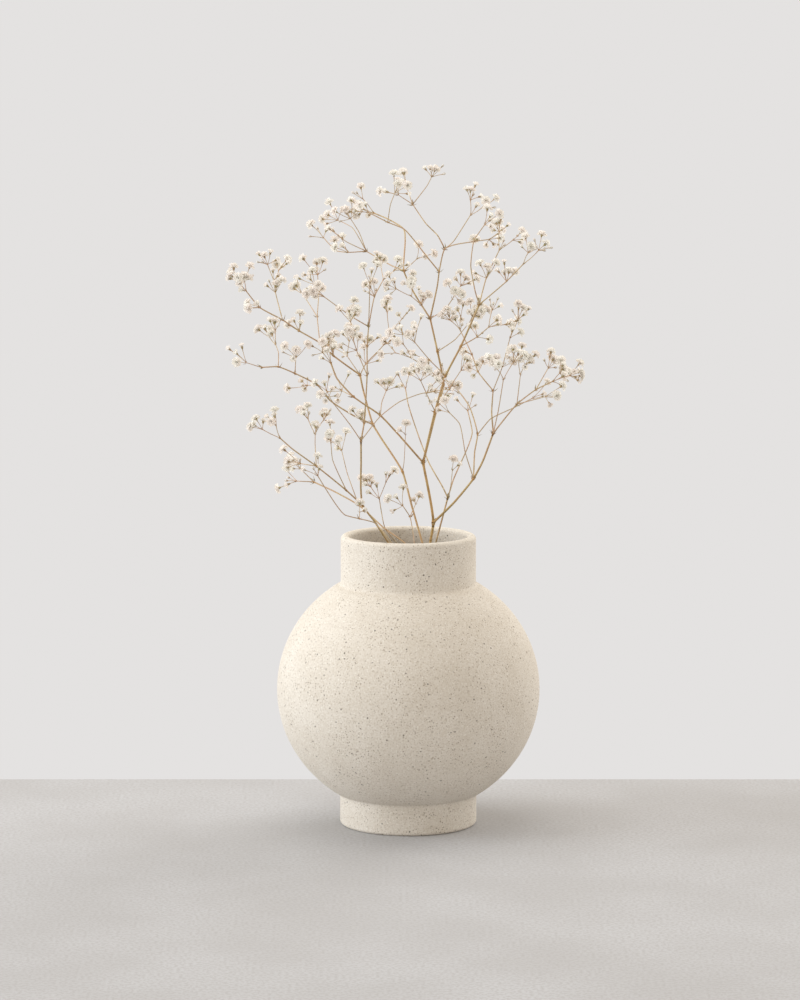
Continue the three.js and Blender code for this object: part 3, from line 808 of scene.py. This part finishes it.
# %% [markdown]
# A petal of a double gypsophila head is a small spoon: a narrow claw, a round blade with a nick in its
# edge, hollow along the middle, arching outwards. Each is a grid of only six faces, bent to shape. An
# open head has five whorls of them, nearly flat outside and upright in the middle, and a half-open one
# has two. A whorl is its number of petals, their lean and arch in degrees, their length and width. A
# few heads are shaped with different chances and then copied, which is cheaper than shaping hundreds.
# They are made in units of the head's radius, with the stalk's end at the origin.

# %% Shape the flower heads
PETAL_WIDTHS = (0.26, 0.86, 1.0, 0.72)
PETAL_ROWS = len(PETAL_WIDTHS) - 1
OPEN_WHORLS = (
    (5, 82, 44, 0.95, 1.2),
    (5, 56, 44, 1.0, 1.14),
    (4, 32, 42, 1.06, 1.08),
    (3, 8, 34, 1.04, 0.96),
    (2, 0, 18, 0.88, 0.72),
)
HALF_WHORLS = (
    (5, 36, 34, 1.15, 1.06),
    (4, 12, 26, 1.2, 0.94),
)
OPEN_SEAT, HALF_SEAT = 0.4, 0.3
OPEN_SEEDS, HALF_SEEDS = range(40, 44), range(60, 63)
LEAN_PLAY, ARCH_PLAY, TURN_PLAY, CREASE = 9, 16, 0.25, 0.07
LENGTH_PLAY, WIDTH_PLAY = (0.9, 1.04), (0.85, 1.1)
HOLLOWS, NICKS = (0.1, 0.34), (0.04, 0.2)
CLAW_OUT = 0.08
BUD_SIZE, BUD_SEAT, BUD_TOP = (0.62, 0.62, 0.8), 0.78, 1.5


def shape_petal(bm, tip, whorl, turn, seat, chance):
    """Bends one grid into a petal: along it the blade leans further out, and its sides curl in."""
    _, lean, arch, length, width = whorl
    lean += chance.uniform(-LEAN_PLAY, LEAN_PLAY)
    arch += chance.uniform(-ARCH_PLAY, ARCH_PLAY)
    length *= chance.uniform(*LENGTH_PLAY)
    width *= chance.uniform(*WIDTH_PLAY)
    hollow = chance.uniform(*HOLLOWS)
    nick = chance.uniform(*NICKS)
    grid = bmesh.ops.create_grid(bm, x_segments=2, y_segments=PETAL_ROWS, size=0.5)["verts"]
    for vert in grid:
        across, along = vert.co.x * 2, vert.co.y + 0.5
        row = round(along * PETAL_ROWS)
        steps = [math.radians(lean + arch * (k + 0.5) / PETAL_ROWS) for k in range(row)]
        out = sum(math.sin(a) for a in steps) * length / PETAL_ROWS
        up = sum(math.cos(a) for a in steps) * length / PETAL_ROWS
        tilt = math.radians(lean + arch * along)
        rise = hollow * across * across * PETAL_WIDTHS[row] * width
        rise += chance.uniform(-CREASE, CREASE) * along
        back = nick * (1 - abs(across)) if row == PETAL_ROWS else 0
        vert[tip] = along
        vert.co = (across * PETAL_WIDTHS[row] * width / 2,
                   CLAW_OUT + out - rise * math.cos(tilt) - back * math.sin(tilt),
                   seat + up + rise * math.sin(tilt) - back * math.cos(tilt))
    bmesh.ops.rotate(bm, cent=(0, 0, 0), matrix=Matrix.Rotation(turn, 3, "Z"), verts=grid)


def shape_head(name, whorls, seat, seed):
    """Whorls of petals, each turned so that its petals stand in the gaps of the last."""
    chance = random.Random(seed)
    bm = bmesh.new()
    tip = bm.verts.layers.float.new("tip")
    for number, whorl in enumerate(whorls):
        for k in range(whorl[0]):
            turn = TURN * (k + 0.5 * number) / whorl[0] + chance.uniform(-TURN_PLAY, TURN_PLAY)
            shape_petal(bm, tip, whorl, turn, seat, chance)
    return as_mesh(name, bm)


def shape_bud(name):
    """A closed bud: an egg of furled petals that stands out of its cup."""
    bm = bmesh.new()
    tip = bm.verts.layers.float.new("tip")
    bmesh.ops.create_icosphere(bm, subdivisions=2, radius=1)
    bmesh.ops.scale(bm, vec=BUD_SIZE, verts=bm.verts)
    bmesh.ops.translate(bm, vec=(0, 0, BUD_SEAT), verts=bm.verts)
    for vert in bm.verts:
        vert[tip] = min(1.0, vert.co.z / BUD_TOP)
    return as_mesh(name, bm)


HEADS = {
    "open": [shape_head(f"open_head_{k}", OPEN_WHORLS, OPEN_SEAT, k) for k in OPEN_SEEDS],
    "half": [shape_head(f"half_head_{k}", HALF_WHORLS, HALF_SEAT, k) for k in HALF_SEEDS],
    "bud": [shape_bud("bud_head")],
}
print("faces of a head:", {kind: len(heads[0].polygons) for kind, heads in HEADS.items()})

# %% [markdown]
# The cup under a head is a five-sided bell, and a tooth stands on each of its corners. It is a disc
# extruded upwards three times, wider each time. A scale leaf is a flattened cone that leans away from
# the wood. Both are in millimetres, with +Z along the twig.

# %% Shape the cups and the scale leaves
CUP_RINGS = ((-0.5, 0.26), (0.05, 0.62), (0.75, 0.84), (1.3, 0.86))
CUP_SCALE = {"open": 1.0, "half": 0.95, "bud": 0.82}
TEETH = 5
TOOTH_RADIUS, TOOTH_LENGTH, TOOTH_LEAN = 0.36, 0.95, 0.35
TOOTH_OUT, TOOTH_UP, TOOTH_TIP = 0.7, 0.25, 0.3
LEAF_FOOT, LEAF_TIP, LEAF_LENGTH = 0.5, 0.04, 2.6
LEAF_UP, LEAF_OUT, LEAF_LEAN = 1.2, 0.75, 0.5
LEAF_FLATNESS = 0.32


def shape_cup():
    bm = bmesh.new()
    tip = bm.verts.layers.float.new("tip")
    low, narrow = CUP_RINGS[0]
    bmesh.ops.create_circle(bm, cap_ends=True, segments=TEETH, radius=narrow,
                            matrix=Matrix.Translation((0, 0, low)))
    bm.faces.ensure_lookup_table()
    end = bm.faces[0]
    for (z, radius), (next_z, next_radius) in zip(CUP_RINGS, CUP_RINGS[1:]):
        grown = bmesh.ops.extrude_face_region(bm, geom=[end])["geom"]
        end = next(part for part in grown if isinstance(part, bmesh.types.BMFace))
        spread = next_radius / radius
        bmesh.ops.scale(bm, vec=(spread, spread, 1), verts=end.verts)
        bmesh.ops.translate(bm, vec=(0, 0, next_z - z), verts=end.verts)
    bmesh.ops.recalc_face_normals(bm, faces=bm.faces)
    rim = CUP_RINGS[-1][0]
    corners = [vert.co.copy() for vert in end.verts]
    for corner in corners:
        turn = Matrix.Rotation(math.atan2(corner.y, corner.x), 4, "Z")
        lean = Matrix.Translation((TOOTH_OUT, 0, rim + TOOTH_UP)) @ Matrix.Rotation(TOOTH_LEAN, 4, "Y")
        tooth = bmesh.ops.create_cone(bm, cap_ends=True, segments=3, radius1=TOOTH_RADIUS, radius2=0,
                                      depth=TOOTH_LENGTH, matrix=turn @ lean)["verts"]
        for vert in tooth:
            vert[tip] = 1.0 if vert.co.z > rim + TOOTH_TIP else 0.45
    return as_mesh("cup", bm)


def shape_scale_leaf():
    bm = bmesh.new()
    tip = bm.verts.layers.float.new("tip")
    bmesh.ops.create_cone(bm, cap_ends=True, segments=5, radius1=LEAF_FOOT, radius2=LEAF_TIP,
                          depth=LEAF_LENGTH, matrix=Matrix.Translation((0, 0, LEAF_UP)))
    bmesh.ops.scale(bm, vec=(1, LEAF_FLATNESS, 1), verts=bm.verts)
    for vert in bm.verts:
        vert[tip] = 0.9 if vert.co.z > 1 else 0.2
    bmesh.ops.rotate(bm, cent=(0, 0, 0), matrix=Matrix.Rotation(-LEAF_LEAN, 3, "X"), verts=bm.verts)
    bmesh.ops.translate(bm, vec=(0, LEAF_OUT, 0), verts=bm.verts)
    return as_mesh("scale_leaf", bm)


cup = shape_cup()
scale_leaf = shape_scale_leaf()
print("cup faces:", len(cup.polygons), "scale leaf faces:", len(scale_leaf.polygons))

# %% [markdown]
# A stem is put together in three pieces, because it has three finishes: its wood with every twig and
# stalk, the petals of all its heads, and the cups with the scale leaves. Most flowers get a younger one
# beside them, which leans out of the same knuckle. A stalk whose head would stand outside the box of
# the solids is drawn shorter.

# %% Build the stems
LIMB_TAPER = (1.1, 0.84)
STALK_RINGS = np.array([0, 0.06, 0.25, 0.5, 0.75, 0.92, 1.0])
STALK_GIRTHS = np.array([1.45, 1.1, 0.9, 0.88, 0.95, 1.2, 1.5])
ARM_GIRTHS = np.array([1.35, 1.08, 0.95, 0.92, 0.95, 1.12, 1.4])
BOW_SHARE = 0.045
LEAF_SIZES = {"limb": 1.15, "sprig": 0.72, "arm": 0.42}
HEAD_SIZES = (1.08, 1.24)
SIDE_BUD_SHARE, SIDE_BUD_LEAN = 0.8, 42
SHORTER_STEP, SHORTEST_REACH = 0.4, 1.6
PETAL_REACH = 1.2
STEM_SEED = 900
ROD_SIDES = ((0.6, 8), (0.42, 7), (0, 6))
STALK_SIDES = 5
BOW_PLAY, LEAF_PLAY, CUP_PLAY = (0.4, 1), (0.8, 1.2), (0.92, 1.05)
BUD_LEAN_PLAY, BUD_REACH_PLAY = (0.8, 1.2), (0.5, 0.85)


def rod_sides(radius):
    return next(sides for least, sides in ROD_SIDES if radius > least)


def add_copy(bm, mesh, matrix):
    copy = mesh.copy()
    copy.transform(matrix)
    bm.from_mesh(copy)
    bpy.data.meshes.remove(copy)


def add_rod(bm, line, radii, knuckles, sides):
    rod = draw_rod(line, radii, knuckles, sides)
    bm.from_mesh(rod)
    bpy.data.meshes.remove(rod)


def add_limb(bm, limb):
    """The wood of a limb, thinner towards its tip and swollen at its knuckles."""
    radius, points = limb["radius"], limb["line"]
    line = soft_line(points, radius)
    knots = [points[0], points[-1], *(p for p in points if tuple(p) in limb["starts"])]
    knots += [sprig[0] for sprig in limb["sprigs"]]
    near = knuckle_shares(line, knots[1:] if points[0][2] < VASE_HEIGHT / 2 else knots, radius)
    along = np.concatenate([[0], np.cumsum(np.linalg.norm(np.diff(line, axis=0), axis=1))])
    taper = between(LIMB_TAPER, along / along[-1])
    add_rod(bm, line, radius * taper * (1 + KNUCKLE_SWELL * near), near, rod_sides(radius))


def add_stalk(bm, start, end, radius, girths, chance):
    """A twig or a stalk: a thin rod with a slight bow to one side."""
    way = Vector(end - start)
    side = way.orthogonal().normalized()
    side.rotate(Matrix.Rotation(chance.uniform(0, TURN), 3, way))
    bow = np.array(side) * way.length * chance.uniform(*BOW_PLAY) * BOW_SHARE
    line = [start + (end - start) * s + bow * math.sin(math.pi * s) for s in STALK_RINGS]
    near = np.clip((girths - 1) * 2, 0, 1)
    add_rod(bm, line, radius * girths, near, STALK_SIDES)


def standing_on(point, way, turn, size):
    """The matrix that stands a shape on a point, with its +Z along the way, turned and scaled."""
    upright = Vector((0, 0, 1)).rotation_difference(Vector(way)).to_matrix().to_4x4()
    return Matrix.Translation(point) @ upright @ Matrix.Rotation(turn, 4, "Z") @ Matrix.Scale(size, 4)


def add_leaf_pair(bm, point, way, radius, size, chance):
    """Two scale leaves that face each other across a knuckle."""
    turn = chance.uniform(0, TURN)
    for half in (0, math.pi):
        leaf = standing_on(point, way, turn + half, size * chance.uniform(*LEAF_PLAY))
        outward = Matrix.Translation((0, radius / size * 0.5, 0))
        add_copy(bm, scale_leaf, leaf @ outward)


def pull_in(flower):
    """Shortens a flower's stalk step by step until its head is inside the box of the solids."""
    low, high = (np.array(corner) / MM for corner in cad_box)
    room = flower["radius"] * HEAD_SIZES[1] * PETAL_REACH
    while flower["reach"] > SHORTEST_REACH:
        centre = flower["foot"] + flower["along"] * (flower["reach"] + HEAD_SEAT * flower["radius"])
        if (centre - room > low).all() and (centre + room < high).all():
            break
        flower["reach"] -= SHORTER_STEP


def side_bud(flower, chance):
    """A younger flower that leans out of the same knuckle as this one."""
    along = Vector(flower["along"])
    side = along.orthogonal().normalized()
    side.rotate(Matrix.Rotation(chance.uniform(0, TURN), 3, along))
    lean = math.radians(SIDE_BUD_LEAN * chance.uniform(*BUD_LEAN_PLAY))
    kind = chance.choice(("half", "half", "bud"))
    return {"foot": flower["foot"], "along": np.array(along * math.cos(lean) + side * math.sin(lean)),
            "reach": flower["reach"] * chance.uniform(*BUD_REACH_PLAY), "kind": kind,
            "radius": HEAD_RADIUS[kind]}


def add_head(petals, husks, flower, chance):
    tip = stalk_end(flower)
    turn = chance.uniform(0, TURN)
    size = flower["radius"] * chance.uniform(*HEAD_SIZES)
    head = chance.choice(HEADS[flower["kind"]])
    add_copy(petals, head, standing_on(tip, flower["along"], turn, size))
    cup_size = CUP_SCALE[flower["kind"]] * chance.uniform(*CUP_PLAY)
    add_copy(husks, cup, standing_on(tip, flower["along"], turn, cup_size))


def new_shape(*layers):
    bm = bmesh.new()
    for layer in layers:
        bm.verts.layers.float.new(layer)
    return bm


def build_stem(name, chance):
    wood, petals, husks = new_shape("girth", "knuckle"), new_shape("tip"), new_shape("tip")
    for limb in (limb for limb in limbs if limb["stem"] == name):
        add_limb(wood, limb)
        line, radius = limb["line"], limb["radius"]
        if line[0][2] > VASE_HEIGHT:
            add_leaf_pair(husks, line[0], unit(line[1] - line[0]), radius, LEAF_SIZES["limb"], chance)
        for point, arms, flowers in limb["sprigs"]:
            add_leaf_pair(husks, point, unit(line[-1] - line[-2]), radius, LEAF_SIZES["sprig"], chance)
            for start, end, arm_radius in arms:
                add_stalk(wood, start, end, arm_radius, ARM_GIRTHS, chance)
                add_leaf_pair(husks, end, unit(end - start), arm_radius, LEAF_SIZES["arm"], chance)
            young = [side_bud(flower, chance) for flower in flowers if chance.random() < SIDE_BUD_SHARE]
            for flower in flowers + young:
                pull_in(flower)
                add_stalk(wood, flower["foot"], stalk_end(flower), STALK_RADIUS, STALK_GIRTHS, chance)
                add_head(petals, husks, flower, chance)
    return [
        as_piece(f"{name}_wood", wood, straw, "dried_stem", name),
        as_piece(f"{name}_petals", petals, petal_paper, "petals", name),
        as_piece(f"{name}_husks", husks, husk, "calyx", name),
    ]


for number, name in enumerate(STEMS):
    made = build_stem(name, random.Random(STEM_SEED + number))
    print(name, "faces:", [len(piece.data.polygons) for piece in made])

# %% [markdown]
# The vase stands near the back of a pale grey table top, a block with its edges rounded off. There is
# no wall behind it, because a wall would stand in the way of a camera that looks from behind. The table
# top has a faint cast grain and broad, soft clouds of tone.

# %% Set the table
TABLE_WIDTH, TABLE_DEPTH, TABLE_THICKNESS = 3.2, 2.4, 0.04
TABLE_BACK = 0.147
TABLE_EDGE = 0.002


def make_table_finish():
    slab = Finish("table_top")
    cloud = slab.noise(120.0, 4.0).rise(0.3, 0.7)
    grain = slab.noise(2.2, 4.0)
    colour = slab.blend(cloud, (0.465, 0.464, 0.472, 1), (0.515, 0.519, 0.535, 1))
    colour = slab.blend(grain.rise(0.42, 0.62) * 0.6, colour, (0.40, 0.392, 0.392, 1))
    slab.set(Base_Color=colour, Roughness=0.72 + grain * 0.15)
    slab.set(Specular_IOR_Level=0.3)
    slab.bump(grain, 0.12)
    return slab.material


def set_table():
    bm = bmesh.new()
    bmesh.ops.create_cube(bm, size=1)
    bmesh.ops.scale(bm, vec=(TABLE_WIDTH, TABLE_DEPTH, TABLE_THICKNESS), verts=bm.verts)
    bmesh.ops.translate(bm, vec=(0, TABLE_BACK - TABLE_DEPTH / 2, -TABLE_THICKNESS / 2), verts=bm.verts)
    bmesh.ops.bevel(bm, geom=bm.edges[:], offset=TABLE_EDGE, affect="EDGES", segments=3, profile=0.5,
                    material=-1)
    mesh = as_mesh("table_top", bm)
    mesh.materials.append(make_table_finish())
    table = bpy.data.objects.new("table_top", mesh)
    bpy.context.scene.collection.objects.link(table)
    return table


table = set_table()
print("table faces:", len(table.data.polygons))

# %% [markdown]
# Three large soft lamps and a pale room light the vase. The strongest lamp is a window on the left, a
# little in front and above, which gives the belly its slow fall from light to shade and a soft shadow to
# the right. The second stands for a bright wall behind on the right, and the third for the ceiling. The
# room is the world: what the camera sees of it is a flat pale grey, and what it sheds is warmer.

# %% Light the scene
WALL = (0.775, 0.760, 0.752)
ROOM_LIGHT = (0.82, 0.76, 0.685)
LAMPS = (
    ("window", (-2.3, -0.26, 0.85), 1.6, 38, (0.88, 0.94, 1.0)),
    ("far_wall", (1.6, 1.6, 1.0), 1.8, 26, (1.0, 0.98, 0.95)),
    ("ceiling", (-0.4, 0.3, 2.1), 1.6, 11, (1.0, 0.99, 0.97)),
)


def light_room():
    world = bpy.data.worlds.new("room")
    world.use_nodes = True
    nodes, links = world.node_tree.nodes, world.node_tree.links
    wall, room = nodes["Background"], nodes.new("ShaderNodeBackground")
    wall.inputs["Color"].default_value = (*WALL, 1)
    room.inputs["Color"].default_value = (*ROOM_LIGHT, 1)
    path, mix = nodes.new("ShaderNodeLightPath"), nodes.new("ShaderNodeMixShader")
    links.new(path.outputs["Is Camera Ray"], mix.inputs[0])
    links.new(room.outputs[0], mix.inputs[1])
    links.new(wall.outputs[0], mix.inputs[2])
    links.new(mix.outputs[0], nodes["World Output"].inputs["Surface"])
    bpy.context.scene.world = world


def hang_lamp(name, place, size, power, colour):
    """A square lamp that faces the middle of the vase."""
    lamp = bpy.data.lights.new(name, "AREA")
    lamp.size = size
    lamp.energy = power
    lamp.color = colour
    hung = bpy.data.objects.new(name, lamp)
    hung.location = place
    middle = Vector((0, 0, VASE_HEIGHT * MM))
    hung.rotation_euler = (middle - Vector(place)).to_track_quat("-Z", "Y").to_euler()
    bpy.context.scene.collection.objects.link(hung)


light_room()
for lamp in LAMPS:
    hang_lamp(*lamp)
bpy.context.scene.view_settings.view_transform = "Standard"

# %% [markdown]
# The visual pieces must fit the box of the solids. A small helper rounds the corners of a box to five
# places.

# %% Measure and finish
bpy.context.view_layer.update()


def plain(box):
    return [[round(float(x), 5) for x in corner] for corner in box]
